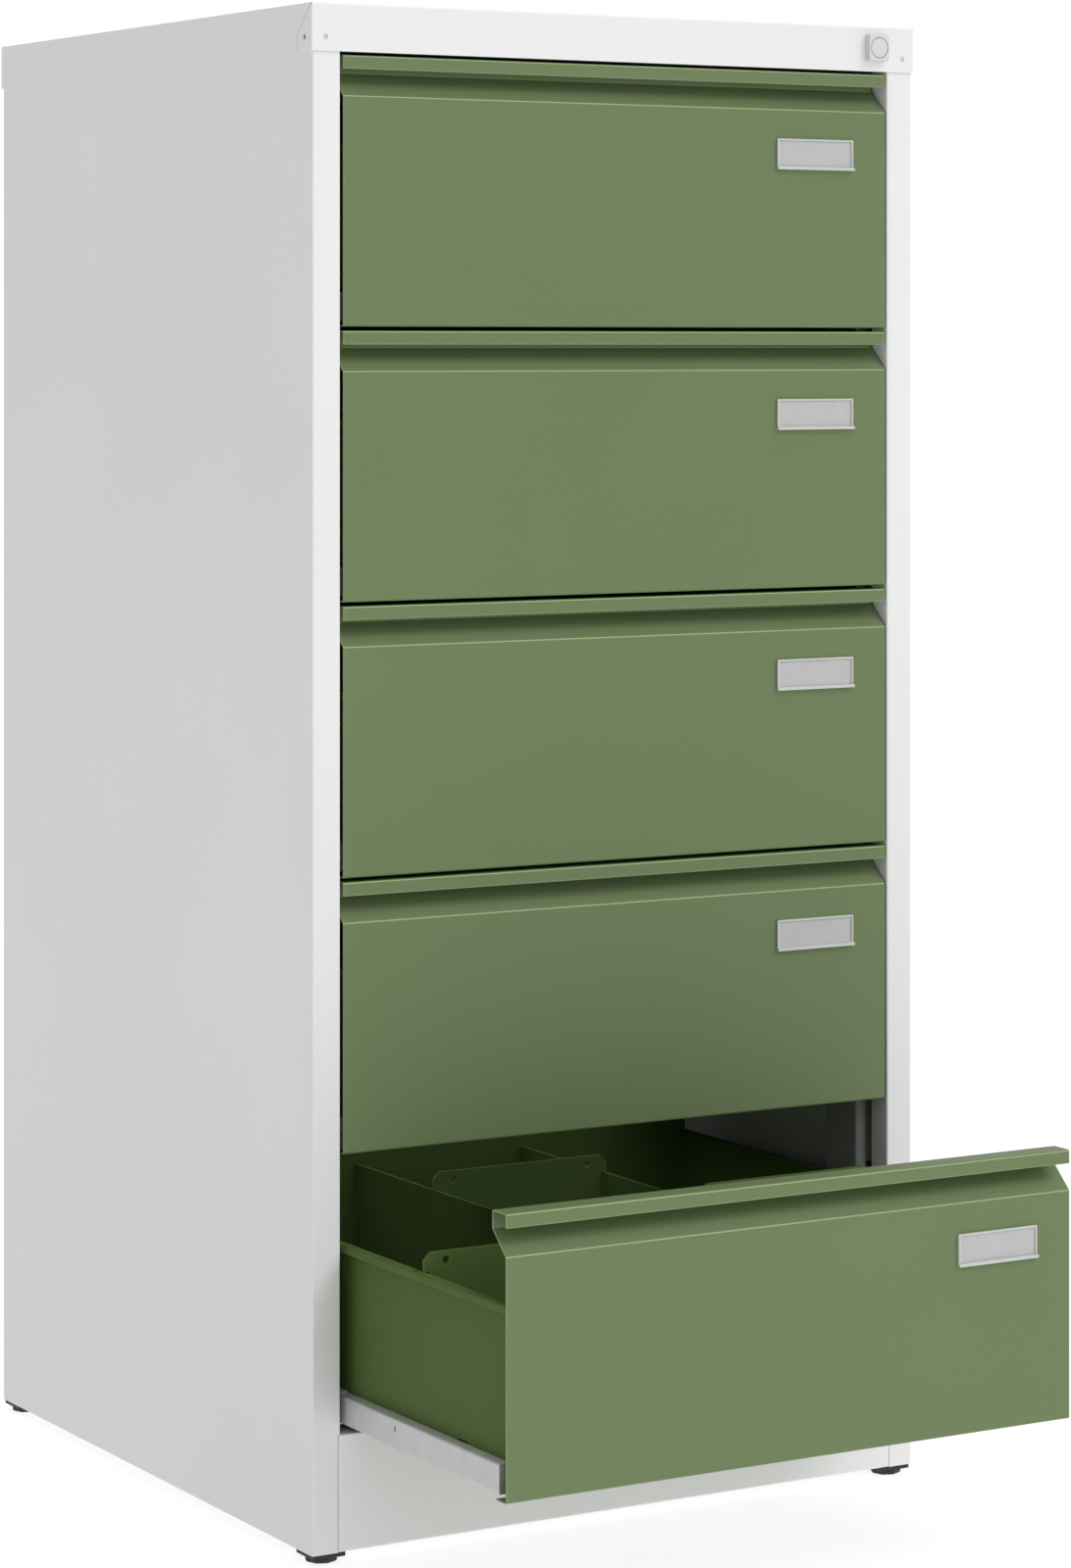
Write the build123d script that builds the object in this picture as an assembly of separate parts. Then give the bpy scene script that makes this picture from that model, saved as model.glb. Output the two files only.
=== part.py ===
from build123d import *
import os

os.makedirs("parts", exist_ok=True)

# A five-drawer card filing cabinet of folded sheet steel, in millimetres.
# X runs across the cabinet, Y from its front to its back and Z up from the floor.
# The bottom drawer stands part open and the lock is open.

# Sheet and bends
SHEET = 1.0
BEND = 1.6
INNER_BEND = 0.8
FIT = 0.2

# Body
BODY_W = 560.0
BODY_D = 590.0
POST_W = 24.4
POST_RETURN = 22.0
REAR_FLANGE = 20.0
UPRIGHT_Y = 40.0
UPRIGHT_D = 51.0
UPRIGHT_NOSE = 8.0
UPRIGHT_REAR = 59.0
PAN_EDGE = 20.0

# Plinth below the drawers
PLINTH_H = 90.5
PLINTH_SEAM = 22.3
PLINTH_LIP = 15.0
PLINTH_SHELF = 30.0

# Lid and the rail behind its front
LID_H = 37.0
LID_CLEAR = 0.45
LID_EDGE = 1.2
RAIL_FLANGE = 15.0
LID_SEAM_Y = 23.0
LID_SEAM_DROP = 23.0
SEAM_W = 0.5
SEAM_DEPTH = 0.4
LID_HOLE_D = 4.6
LID_HOLE_IN = 10.5
LID_HOLE_UP = 11.0
SCREW_HEAD_D = 4.2
SCREW_SHANK_D = 3.0
SCREW_LENGTH = 8.0

# Drawers
DRAWERS = 5
FRONT_H = 209.4
FRONT_GAP = 3.1
PLINTH_GAP = 2.7
LID_GAP = 2.4
SIDE_GAP = 2.5
TRAVEL = 480.0
BOTTOM_OPEN = 250.9

# Drawer front with its finger recess
LIP_BAND = 10.7
LIP_D = 20.5
LIP_BACK = 13.7
RECESS_H = 32.0
FRONT_FLANGE = 15.0

# Drawer tray
TRAY_REAR_GAP = 34.0
RUNNER_D = 9.0
RIM_DOWN = 67.8
RIM_W = 6.5
RIM_LIP = 6.0
BACK_DOWN = 6.6
SLOT_Y = 80.5
SLOT_Z = 21.0
SLOT_L = 18.0
SLOT_H = 6.0
PARTITION_FOOT = 12.0

# Dividers, one to a bay
BAYS = 3
DIVIDER_PLAY = 2.7
DIVIDER_SEAT = 0.3
DIVIDER_FLOOR_GAP = 4.0
EAR_OVERHANG = 2.7
EAR_H = 14.5
EAR_CHAMFER = 6.0
EAR_HOLE_D = 6.2
EAR_HOLE_IN = 19.3
EAR_HOLE_UP = 7.5
DIVIDER_STORED_IN = 56.0
DIVIDER_STAGGER = 3.0
DIVIDER_Y_LEFT = 138.0
DIVIDER_Y_MIDDLE = 415.0
DIVIDER_Y_RIGHT = 261.0

# Label holder
LABEL_W = 74.0
LABEL_H = 25.0
LABEL_RIGHT = 32.7
LABEL_DOWN = 55.2
LABEL_PLATE = 0.6
LABEL_PROUD = 2.0
LABEL_LEDGE = 3.0
LABEL_LEDGE_H = 2.4
LABEL_BORDER = 1.4
LABEL_CARD = 0.4
LABEL_CARD_PLAY = 0.3

# Runners, three channels to a side, nested from the drawer's own outwards
RUNNER_SHEET = 1.2
RUNNER_NEST = 0.35
RUNNER_EDGE_GAP = 1.0
RUNNER_Z = 4.3
RUNNER_H = 22.3
RUNNER_FRONT = 11.5
RUNNER_REAR_GAP = 3.0
MIDDLE_FRONT = 135.0
MIDDLE_REAR_GAP = 11.0
CABINET_RUNNER_FRONT = 42.0
CABINET_RUNNER_REAR_GAP = 35.0
RUNNER_SCREW_D = 3.5
RUNNER_SCREW_LENGTH = 8.0
RUNNER_HOLE_Y = 169.0
RUNNER_HOLE_Z = 14.3
RUNNER_HOLE_W = 2.0
RUNNER_HOLE_H = 5.0
RUNNER_RIVET_Y = 246.5
RUNNER_RIVET_Z = 13.9
RUNNER_RIVET_D = 3.0

# Lock on the lid's front, its cam and the bar that holds the drawers shut
LOCK_IN = 36.8
LOCK_UP = 19.3
LOCK_W = 20.0
LOCK_H = 21.7
LOCK_PROUD = 5.9
LOCK_EDGE = 0.8
LOCK_BARREL_D = 17.0
LOCK_BARREL_Y = 14.0
LOCK_NUT_W = 21.0
LOCK_NUT_T = 3.0
CORE_FACE_D = 16.0
CORE_FACE_T = 3.0
CORE_RING = 0.6
CORE_D = 12.0
CORE_RUN = 0.05
CORE_Y = 22.7
CAM_D = 31.0
CAM_T = 5.0
CAM_ARM = 8.485
CAM_PIN_D = 4.0
CAM_PIN_PROUD = 2.0
CAM_SLOT_PLAY = 0.5
BAR_Y = 28.7
BAR_T = 2.0
BAR_W = 10.0
BAR_IN = 11.0
BAR_DROP = 12.0
BAR_TOP_ARM_H = 12.0
FINGER_H = 7.0
FINGER_UP = 36.7
FINGER_REACH = 4.0
CATCH_Y = 31.7
CATCH_L = 5.0
CATCH_W = 5.0
CATCH_TOP = 35.7
GUIDE_W = 14.0
GUIDE_H = 12.0
GUIDE_LIP = 1.3
GUIDE_FIT = 0.3

# Feet
FOOT_H = 8.0
FOOT_IN = 15.5
FOOT_PLATE_W = 28.0
FOOT_PLATE_T = 3.5
FOOT_KNOB_D = 26.0
FOOT_KNOB_GAP = 0.3
FOOT_KNOB_CHAMFER = 1.2
FOOT_STUD_D = 8.0
FOOT_STUD_RUN = 0.05
FOOT_STUD_TOP = 30.0
FOOT_PAN_HOLE_D = 9.0
FOOT_SLOT_W = 1.2
FOOT_SLOT_DEPTH = 1.5

# Levels and half widths that follow from the sizes above
HALF_W = BODY_W / 2
OPEN_HALF = HALF_W - POST_W
FRONT_HALF = OPEN_HALF - SIDE_GAP
RUNNER_STEP = RUNNER_SHEET + RUNNER_NEST
RUNNER_HALF = OPEN_HALF - 2 * RUNNER_STEP
TRAY_HALF = RUNNER_HALF - RUNNER_D
RIM_HALF = TRAY_HALF + RIM_W
PITCH = FRONT_H + FRONT_GAP
PLINTH_TOP = FOOT_H + PLINTH_H
LID_BOTTOM = PLINTH_TOP + PLINTH_GAP + DRAWERS * PITCH - FRONT_GAP + LID_GAP
LID_TOP = LID_BOTTOM + LID_H
BODY_TOP = LID_TOP - SHEET
LID_OUT = LID_CLEAR + SHEET
BAY_W = (2 * (TRAY_HALF - SHEET) - (BAYS - 1) * SHEET) / BAYS
BAY_STEP = BAY_W + SHEET
LOCK_X = HALF_W - LOCK_IN
LOCK_Z = LID_BOTTOM + LOCK_UP
BAR_X = HALF_W - BAR_IN
CAM_RISE = BAR_DROP / 2
UPRIGHTS = (UPRIGHT_Y, BODY_D - UPRIGHT_REAR - UPRIGHT_D)
TRAY_D = BODY_D - TRAY_REAR_GAP
RIM_Z = FRONT_H - RIM_DOWN
BACK_H = FRONT_H - BACK_DOWN
DIVIDER_Y_STORED = TRAY_D - DIVIDER_STORED_IN
RUNNER_REAR = TRAY_D - RUNNER_REAR_GAP
MIDDLE_REAR = TRAY_D - MIDDLE_REAR_GAP
CABINET_RUNNER_REAR = BODY_D - CABINET_RUNNER_REAR_GAP

# The origin is on the floor, midway between the open drawer's label and the lid's back
FRONT_MOST = -BOTTOM_OPEN - LABEL_LEDGE
BACK_MOST = BODY_D + LID_OUT
ORIGIN_Y = (FRONT_MOST + BACK_MOST) / 2


def block(x, y, z):
    """A box over the ranges x, y and z, each a low and a high value."""
    size = [high - low for low, high in (x, y, z)]
    centre = [(high + low) / 2 for low, high in (x, y, z)]
    return Pos(*centre) * Box(*size)


def rod(centre, diameter, length, direction):
    """A cylinder that starts at centre and runs along direction."""
    return extrude(Plane(centre, z_dir=direction) * Circle(diameter / 2), amount=length)


def strip(points, thickness, radii):
    """The section of a sheet bent along points, on the right of the way they run."""
    path = FilletPolyline(*points, radius=radii)
    return make_face(offset(path, amount=thickness, side=Side.RIGHT))


def folded_x(points, x, thickness=SHEET, radii=BEND):
    """A bent sheet with its section in Y and Z, over the range x."""
    section = Plane.YZ.offset(x[0]) * strip(points, thickness, radii)
    return extrude(section, amount=x[1] - x[0])


def folded_y(points, y, thickness=SHEET, radii=BEND):
    """A bent sheet with its section in X and Z, over the range y."""
    section = Plane.XZ.offset(-y[0]) * strip(points, thickness, radii)
    return extrude(section, amount=y[0] - y[1])


def folded_z(points, z, thickness=SHEET, radii=BEND):
    """A bent sheet with its section in X and Y, over the range z."""
    section = Plane.XY.offset(z[0]) * strip(points, thickness, radii)
    return extrude(section, amount=z[1] - z[0])


def across(shape):
    """The same piece on the right side of the cabinet."""
    return mirror(shape, about=Plane.YZ)


def front_bottom(drawer):
    """Height of a drawer front's bottom edge; drawer 1 is the top one."""
    return PLINTH_TOP + PLINTH_GAP + (DRAWERS - drawer) * PITCH


def corner_places():
    """The centre of the foot under each corner, in X and Y, by the corner's name."""
    x = HALF_W - FOOT_IN
    return {
        "front_left": (-x, FOOT_IN),
        "front_right": (x, FOOT_IN),
        "rear_left": (-x, BODY_D - FOOT_IN),
        "rear_right": (x, BODY_D - FOOT_IN),
    }


def lid_hole_height():
    return LID_BOTTOM + LID_HOLE_UP


def lid_seam():
    """The groove round the lid's folded front corner, cut from its left face."""
    left = -HALF_W - LID_OUT
    points = [
        (-LID_OUT, LID_TOP),
        (LID_SEAM_Y, LID_TOP - LID_SEAM_DROP),
        (LID_SEAM_Y, LID_BOTTOM - SHEET),
    ]
    return folded_x(points, (left - SHEET, left + SEAM_DEPTH), SEAM_W, INNER_BEND)


def lid():
    """A shallow cap over the body, with the lock's hole and its fixing holes."""
    out, inner = HALF_W + LID_OUT, HALF_W + LID_CLEAR
    shell = block((-out, out), (-LID_OUT, BODY_D + LID_OUT), (LID_BOTTOM, LID_TOP))
    edges = shell.edges().filter_by(Axis.Z) + shell.faces().sort_by(Axis.Z)[-1].edges()
    shell = fillet(edges, LID_EDGE)
    hollow = block((-inner, inner), (-LID_CLEAR, BODY_D + LID_CLEAR), (0, BODY_TOP))
    shell = shell - hollow - lid_seam() - across(lid_seam())
    z = lid_hole_height()
    for x in (-HALF_W + LID_HOLE_IN, HALF_W - LID_HOLE_IN):
        shell -= rod((x, -LID_OUT - SHEET, z), LID_HOLE_D, 2 * SHEET + LID_CLEAR, (0, 1, 0))
    shell -= rod((-out - SHEET, LID_HOLE_IN, z), LID_HOLE_D, 2 * (out + SHEET), (1, 0, 0))
    barrel = rod((LOCK_X, -LID_OUT - SHEET, LOCK_Z), LOCK_BARREL_D + FIT, LOCK_BARREL_Y, (0, 1, 0))
    return shell - barrel


def lid_screws():
    """The two screws through the lid's front into the posts."""
    screws = []
    for x in (-HALF_W + LID_HOLE_IN, HALF_W - LID_HOLE_IN):
        head = rod((x, -LID_OUT + FIT, lid_hole_height()), SCREW_HEAD_D, LID_OUT - FIT, (0, 1, 0))
        shank = rod((x, 0, lid_hole_height()), SCREW_SHANK_D, SCREW_LENGTH, (0, 1, 0))
        screws.append(head + shank)
    return screws


def left_side_panel():
    """Side wall, front post with its return flange, and rear flange, of one sheet."""
    points = [
        (-OPEN_HALF, POST_RETURN),
        (-OPEN_HALF, 0),
        (-HALF_W, 0),
        (-HALF_W, BODY_D),
        (-HALF_W + REAR_FLANGE, BODY_D),
    ]
    panel = folded_z(points, (FOOT_H, BODY_TOP))
    beside_plinth = block(
        (-HALF_W + PLINTH_SEAM, -OPEN_HALF + SHEET),
        (-SHEET, POST_RETURN + SHEET),
        (FOOT_H - SHEET, PLINTH_TOP + FIT),
    )
    z = lid_hole_height()
    side_hole = rod((-HALF_W - SHEET, LID_HOLE_IN, z), LID_HOLE_D, 3 * SHEET, (1, 0, 0))
    front_hole = rod((-HALF_W + LID_HOLE_IN, -SHEET, z), SCREW_SHANK_D + FIT, 3 * SHEET, (0, 1, 0))
    return panel - beside_plinth - side_hole - front_hole


def back_panel():
    x = HALF_W - BEND
    return block((-x, x), (BODY_D - 2 * SHEET, BODY_D - SHEET), (FOOT_H, BODY_TOP))


def base_pan():
    """The floor of the body, turned up at its front and back."""
    x = HALF_W - SHEET
    front, back = PLINTH_LIP + FIT, BODY_D - 2 * SHEET
    points = [(back, FOOT_H + PAN_EDGE), (back, FOOT_H), (front, FOOT_H), (front, FOOT_H + PAN_EDGE)]
    pan = folded_x(points, (-x, x))
    for place in corner_places().values():
        pan -= rod((*place, FOOT_H - SHEET), FOOT_PAN_HOLE_D, 3 * SHEET + PAN_EDGE, (0, 0, 1))
    return pan


def plinth():
    """The fixed front below the drawers, flush with the posts."""
    x = HALF_W - PLINTH_SEAM - FIT
    points = [(PLINTH_LIP, FOOT_H), (0, FOOT_H), (0, PLINTH_TOP), (PLINTH_SHELF, PLINTH_TOP)]
    return folded_x(points, (-x, x))


def head_rail():
    """The rail between the posts behind the lid's front, which carries the lock."""
    points = [
        (RAIL_FLANGE, LID_BOTTOM),
        (0, LID_BOTTOM),
        (0, BODY_TOP),
        (RAIL_FLANGE, BODY_TOP),
    ]
    rail = folded_x(points, (-OPEN_HALF, OPEN_HALF))
    return rail - rod((LOCK_X, -SHEET, LOCK_Z), LOCK_BARREL_D + FIT, 3 * SHEET, (0, 1, 0))


def screw_heights():
    """Height of the middle of each drawer's runners, from the top drawer down."""
    middle = RUNNER_Z + RUNNER_H / 2
    return [front_bottom(n) + middle for n in range(1, DRAWERS + 1)]


def screw_depths():
    """Depth in the cabinet of the middle of each upright's face."""
    return [y + (UPRIGHT_NOSE + UPRIGHT_D) / 2 for y in UPRIGHTS]


def left_uprights():
    """The front and rear channels inside the left wall, which carry the runners."""
    wall = -HALF_W + SHEET
    channels = []
    for y in UPRIGHTS:
        points = [(wall, y + UPRIGHT_D), (-OPEN_HALF, y + UPRIGHT_D), (-OPEN_HALF, y), (wall, y)]
        channel = folded_z(points, (FOOT_H + SHEET, BODY_TOP), RUNNER_SHEET, [BEND, UPRIGHT_NOSE])
        depth = y + (UPRIGHT_NOSE + UPRIGHT_D) / 2
        for z in screw_heights():
            start = (-OPEN_HALF - 2 * RUNNER_SHEET, depth, z)
            channel -= rod(start, RUNNER_SCREW_D + FIT, 3 * RUNNER_SHEET, (1, 0, 0))
        channels.append(channel)
    return channels


def runner_channel(step, y):
    """A left runner channel, open towards the drawer; each step is one channel further out."""
    grow = step * RUNNER_STEP
    low, high = RUNNER_Z - grow, RUNNER_Z + RUNNER_H + grow
    web = -RUNNER_HALF - grow
    edge = -TRAY_HALF - (RUNNER_EDGE_GAP if step else 0)
    points = [(edge, low), (web, low), (web, high), (edge, high)]
    return folded_y(points, y, RUNNER_SHEET, BEND + grow)


def countersunk(depth, z, play=0.0):
    """A flat screw head in a left runner's web, from its inner face to the upright's face."""
    plane = Plane((-OPEN_HALF + RUNNER_SHEET, depth, z), z_dir=(-1, 0, 0))
    head = Circle(RUNNER_SCREW_D / 2 + RUNNER_SHEET + play)
    return extrude(plane * head, amount=RUNNER_SHEET, taper=45)


def left_cabinet_runners():
    """The fixed member of each left runner, screwed to the uprights."""
    span = (CABINET_RUNNER_FRONT, CABINET_RUNNER_REAR)
    runners = []
    for n, z in zip(range(1, DRAWERS + 1), screw_heights()):
        runner = Pos(0, 0, front_bottom(n)) * runner_channel(2, span)
        for depth in screw_depths():
            runner -= countersunk(depth, z, FIT / 2)
        runners.append(runner)
    return runners


def runner_screws():
    """The screws that hold the cabinet runners to the uprights, on both sides."""
    left = []
    for z in screw_heights():
        for depth in screw_depths():
            shank = rod((-OPEN_HALF, depth, z), RUNNER_SCREW_D, RUNNER_SCREW_LENGTH, (-1, 0, 0))
            left.append(countersunk(depth, z) + shank)
    return left + [across(screw) for screw in left]


def foot_plates():
    """The threaded plate under each corner of the body."""
    plates = []
    half = FOOT_PLATE_W / 2
    for x, y in corner_places().values():
        plate = block((x - half, x + half), (y - half, y + half), (FOOT_H - FOOT_PLATE_T, FOOT_H))
        hole_d = FOOT_STUD_D + 2 * FOOT_STUD_RUN
        plates.append(plate - rod((x, y, 0), hole_d, 2 * FOOT_H, (0, 0, 1)))
    return plates


def levelling_foot(x, y):
    """An eight-sided knob on a threaded stud, with a slot for a screwdriver on top."""
    knob_h = FOOT_H - FOOT_PLATE_T - FOOT_KNOB_GAP
    knob = extrude(Pos(x, y, 0) * RegularPolygon(FOOT_KNOB_D / 2, 8), amount=knob_h)
    knob = chamfer(knob.faces().sort_by(Axis.Z)[0].edges(), FOOT_KNOB_CHAMFER)
    stud = rod((x, y, 0), FOOT_STUD_D, FOOT_STUD_TOP, (0, 0, 1))
    slot = block(
        (x - FOOT_STUD_D, x + FOOT_STUD_D),
        (y - FOOT_SLOT_W / 2, y + FOOT_SLOT_W / 2),
        (FOOT_STUD_TOP - FOOT_SLOT_DEPTH, FOOT_STUD_TOP + SHEET),
    )
    return knob + stud - slot


def lock_housing():
    """The square lock case on the lid and the barrel through lid and rail."""
    front = -LID_OUT - LOCK_PROUD
    x, z = LOCK_W / 2, LOCK_H / 2
    case = block((LOCK_X - x, LOCK_X + x), (front, -LID_OUT), (LOCK_Z - z, LOCK_Z + z))
    edges = case.faces().sort_by(Axis.Y)[0].edges() + case.edges().filter_by(Axis.Y)
    case = fillet(edges, LOCK_EDGE)
    barrel = rod((LOCK_X, -LID_OUT, LOCK_Z), LOCK_BARREL_D, LID_OUT + LOCK_BARREL_Y, (0, 1, 0))
    bore_d = CORE_D + 2 * CORE_RUN
    bore = rod((LOCK_X, front, LOCK_Z), bore_d, LOCK_BARREL_Y - front, (0, 1, 0))
    recess_d = CORE_FACE_D + 2 * CORE_RING
    recess = rod((LOCK_X, front, LOCK_Z), recess_d, CORE_FACE_T + FIT, (0, 1, 0))
    return case + barrel - bore - recess


def lock_nut():
    """The nut that clamps the lock to the head rail."""
    plane = Plane((LOCK_X, SHEET, LOCK_Z), z_dir=(0, 1, 0))
    nut = extrude(plane * RegularPolygon(LOCK_NUT_W / 2, 6, major_radius=False), amount=LOCK_NUT_T)
    return nut - rod((LOCK_X, 0, LOCK_Z), LOCK_BARREL_D + FIT, RAIL_FLANGE, (0, 1, 0))


def lock_core():
    """The turning part of the lock, with the round face that shows in the case."""
    front = -LID_OUT - LOCK_PROUD
    face = rod((LOCK_X, front, LOCK_Z), CORE_FACE_D, CORE_FACE_T, (0, 1, 0))
    face = chamfer(face.edges().sort_by(Axis.Y)[0], FIT)
    return face + rod((LOCK_X, front + SHEET, LOCK_Z), CORE_D, CORE_Y - front - SHEET, (0, 1, 0))


def cam_pin_place():
    """Where the cam's pin stands in X and Z with the lock open."""
    across_x = (CAM_ARM**2 - CAM_RISE**2) ** 0.5
    return LOCK_X + across_x, LOCK_Z + CAM_RISE


def lock_cam():
    """The cam wheel on the core's end, whose pin moves the bar."""
    pin_x, pin_z = cam_pin_place()
    wheel = rod((LOCK_X, CORE_Y, LOCK_Z), CAM_D, CAM_T, (0, 1, 0))
    pin_length = BAR_Y + BAR_T + CAM_PIN_PROUD - CORE_Y
    return wheel + rod((pin_x, CORE_Y, pin_z), CAM_PIN_D, pin_length, (0, 1, 0))


def finger_bottom(drawer):
    """Height of the lock bar's finger over a drawer's catch, with the lock open."""
    return front_bottom(drawer) + RUNNER_Z + FINGER_UP


def lock_bar():
    """A flat bar behind the right post, with a finger to each drawer."""
    pin_x, pin_z = cam_pin_place()
    y = (BAR_Y, BAR_Y + BAR_T)
    arm_low = pin_z - BAR_TOP_ARM_H / 2
    arm_high = pin_z + BAR_TOP_ARM_H / 2
    outer = BAR_X + BAR_W / 2
    inner = BAR_X - BAR_W / 2
    bar = block((inner, outer), y, (finger_bottom(DRAWERS) - FINGER_H / 2, arm_high))
    bar += block((LOCK_X + SHEET, outer), y, (arm_low, arm_high))
    for n in range(1, DRAWERS + 1):
        low = finger_bottom(n)
        bar += block((RUNNER_HALF - FINGER_REACH, inner + SHEET), y, (low, low + FINGER_H))
    reach = CAM_PIN_D / 2 + CAM_SLOT_PLAY
    slot_z = (pin_z - reach, pin_z + reach)
    return bar - block((pin_x - reach, LOCK_X + CAM_ARM + reach), (0, UPRIGHT_Y), slot_z)


def lock_guides():
    """The clips on the front upright in which the bar slides."""
    guides = []
    x = GUIDE_W / 2
    slot = BAR_W / 2 + GUIDE_FIT
    for n in range(1, DRAWERS + 1, 2):
        z = finger_bottom(n) + PITCH / 2
        if z > LID_BOTTOM:
            z = finger_bottom(n) - PITCH / 2
        clip = block(
            (BAR_X - x, BAR_X + x),
            (BAR_Y - GUIDE_FIT - GUIDE_LIP, UPRIGHT_Y),
            (z - GUIDE_H / 2, z + GUIDE_H / 2),
        )
        guides.append(
            clip
            - block(
                (BAR_X - slot, BAR_X + slot),
                (BAR_Y - GUIDE_FIT, BAR_Y + BAR_T + GUIDE_FIT),
                (z - GUIDE_H, z + GUIDE_H),
            )
        )
    return guides


def drawer_front():
    """The front sheet: lip, finger recess, panel and bottom flange."""
    points = [
        (0, FRONT_H - LIP_BAND),
        (0, FRONT_H),
        (LIP_D, FRONT_H),
        (LIP_D, FRONT_H - LIP_BACK),
        (SHEET, FRONT_H - RECESS_H),
        (SHEET, SHEET),
        (FRONT_FLANGE, SHEET),
    ]
    radii = [BEND, BEND, BEND, INNER_BEND, INNER_BEND]
    return folded_x(points, (-FRONT_HALF, FRONT_HALF), SHEET, radii)


def drawer_tray():
    """Floor, sides with folded rims and the tall back, of one sheet."""
    wall, floor = TRAY_HALF - SHEET, 2 * SHEET
    points = [
        (-RIM_HALF, RIM_Z - RIM_LIP),
        (-RIM_HALF, RIM_Z),
        (-wall, RIM_Z),
        (-wall, floor),
        (wall, floor),
        (wall, RIM_Z),
        (RIM_HALF, RIM_Z),
        (RIM_HALF, RIM_Z - RIM_LIP),
    ]
    back = (TRAY_D - SHEET, TRAY_D)
    tray = folded_y(points, (SHEET + INNER_BEND, TRAY_D), SHEET, BEND)
    tray += block((-TRAY_HALF, TRAY_HALF), back, (SHEET, BACK_H))
    tray += block((-RIM_HALF, RIM_HALF), back, (RIM_Z - RIM_LIP, BACK_H))
    slot_plane = Plane((-HALF_W, SLOT_Y, RUNNER_Z + SLOT_Z), x_dir=(0, 1, 0), z_dir=(1, 0, 0))
    return tray - extrude(slot_plane * SlotOverall(SLOT_L, SLOT_H), amount=BODY_W)


def partitions():
    """The upright plates between the bays, each with a foot on the floor."""
    floor = 2 * SHEET
    y = (SHEET, TRAY_D - SHEET)
    plates = []
    for n in range(1, BAYS):
        x = (n - BAYS / 2) * BAY_STEP
        plate = block((x - SHEET / 2, x + SHEET / 2), y, (floor, RIM_Z))
        foot = block((x, x + PARTITION_FOOT), y, (floor, floor + SHEET))
        plates.append(plate + foot)
    return plates


def divider(bay, depth):
    """A sliding plate whose ears ride on the rims beside a bay."""
    x = (bay - (BAYS - 1) / 2) * BAY_STEP
    body_half = BAY_W / 2 - DIVIDER_PLAY
    ear_half = BAY_W / 2 + EAR_OVERHANG
    low = RIM_Z + DIVIDER_SEAT
    body = Pos(x, (low + 2 * SHEET + DIVIDER_FLOOR_GAP) / 2)
    body *= Rectangle(2 * body_half, low - 2 * SHEET - DIVIDER_FLOOR_GAP)
    top = Pos(x, low + EAR_H / 2) * Rectangle(2 * ear_half, EAR_H)
    top = chamfer(top.vertices().group_by(Axis.Y)[-1], EAR_CHAMFER)
    outline = body + top
    for side in (-1, 1):
        hole_x = x + side * (ear_half - EAR_HOLE_IN)
        outline -= Pos(hole_x, low + EAR_HOLE_UP) * Circle(EAR_HOLE_D / 2)
    return extrude(Plane.XZ.offset(-depth) * outline, amount=-SHEET)


def stored_depth(bay):
    """Where a bay's divider stands in a shut drawer; its ears pass its neighbour's."""
    return DIVIDER_Y_STORED - bay * DIVIDER_STAGGER


def label_holder():
    """The holder on the drawer front, and the blank card in it."""
    right = FRONT_HALF - LABEL_RIGHT
    left = right - LABEL_W
    high = FRONT_H - LABEL_DOWN
    low = high - LABEL_H
    lip = (-LABEL_PROUD, 0)
    holder = block((left, right), (-LABEL_PLATE, 0), (low, high))
    holder += block((left, left + LABEL_BORDER), lip, (low, high))
    holder += block((right - LABEL_BORDER, right), lip, (low, high))
    holder += block((left, right), lip, (high - LABEL_BORDER, high))
    holder += block((left, right + SHEET), (-LABEL_LEDGE, 0), (low, low + LABEL_LEDGE_H))
    card = block(
        (left + LABEL_BORDER + LABEL_CARD_PLAY, right - LABEL_BORDER - LABEL_CARD_PLAY),
        (-LABEL_PLATE - LABEL_CARD, -LABEL_PLATE),
        (low + LABEL_LEDGE_H, high - LABEL_BORDER - LABEL_CARD_PLAY),
    )
    return [holder, card]


def drawer_runners():
    """The members on the drawer's sides; the right one has the lock's catch."""
    left = runner_channel(0, (RUNNER_FRONT, RUNNER_REAR))
    inside = (RUNNER_Z + RUNNER_SHEET / 2, RUNNER_Z + RUNNER_H - RUNNER_SHEET / 2)
    end = (RUNNER_FRONT, RUNNER_FRONT + RUNNER_SHEET)
    left += block((-RUNNER_HALF + RUNNER_SHEET / 2, -TRAY_HALF), end, inside)
    web = (-RUNNER_HALF - RUNNER_SHEET, -RUNNER_HALF + 2 * RUNNER_SHEET)
    hole_y = (RUNNER_HOLE_Y - RUNNER_HOLE_W / 2, RUNNER_HOLE_Y + RUNNER_HOLE_W / 2)
    hole_z = RUNNER_Z + RUNNER_HOLE_Z
    left -= block(web, hole_y, (hole_z - RUNNER_HOLE_H / 2, hole_z + RUNNER_HOLE_H / 2))
    rivet = (web[0], RUNNER_RIVET_Y, RUNNER_Z + RUNNER_RIVET_Z)
    left -= rod(rivet, RUNNER_RIVET_D, 3 * RUNNER_SHEET, (1, 0, 0))
    catch = block(
        (RUNNER_HALF - CATCH_W, RUNNER_HALF),
        (CATCH_Y, CATCH_Y + CATCH_L),
        (RUNNER_Z + RUNNER_H - RUNNER_SHEET, RUNNER_Z + CATCH_TOP),
    )
    return [left, across(left) + catch]


def middle_runners():
    left = runner_channel(1, (MIDDLE_FRONT, MIDDLE_REAR))
    return [left, across(left)]


def opening(drawer):
    """How far a drawer stands open: only the bottom one does."""
    return BOTTOM_OPEN if drawer == DRAWERS else 0.0


def placed(shapes, out, up):
    """Pieces of a drawer, moved out of the cabinet and up to their level."""
    return [Pos(0, -out, up) * shape for shape in shapes]


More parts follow.
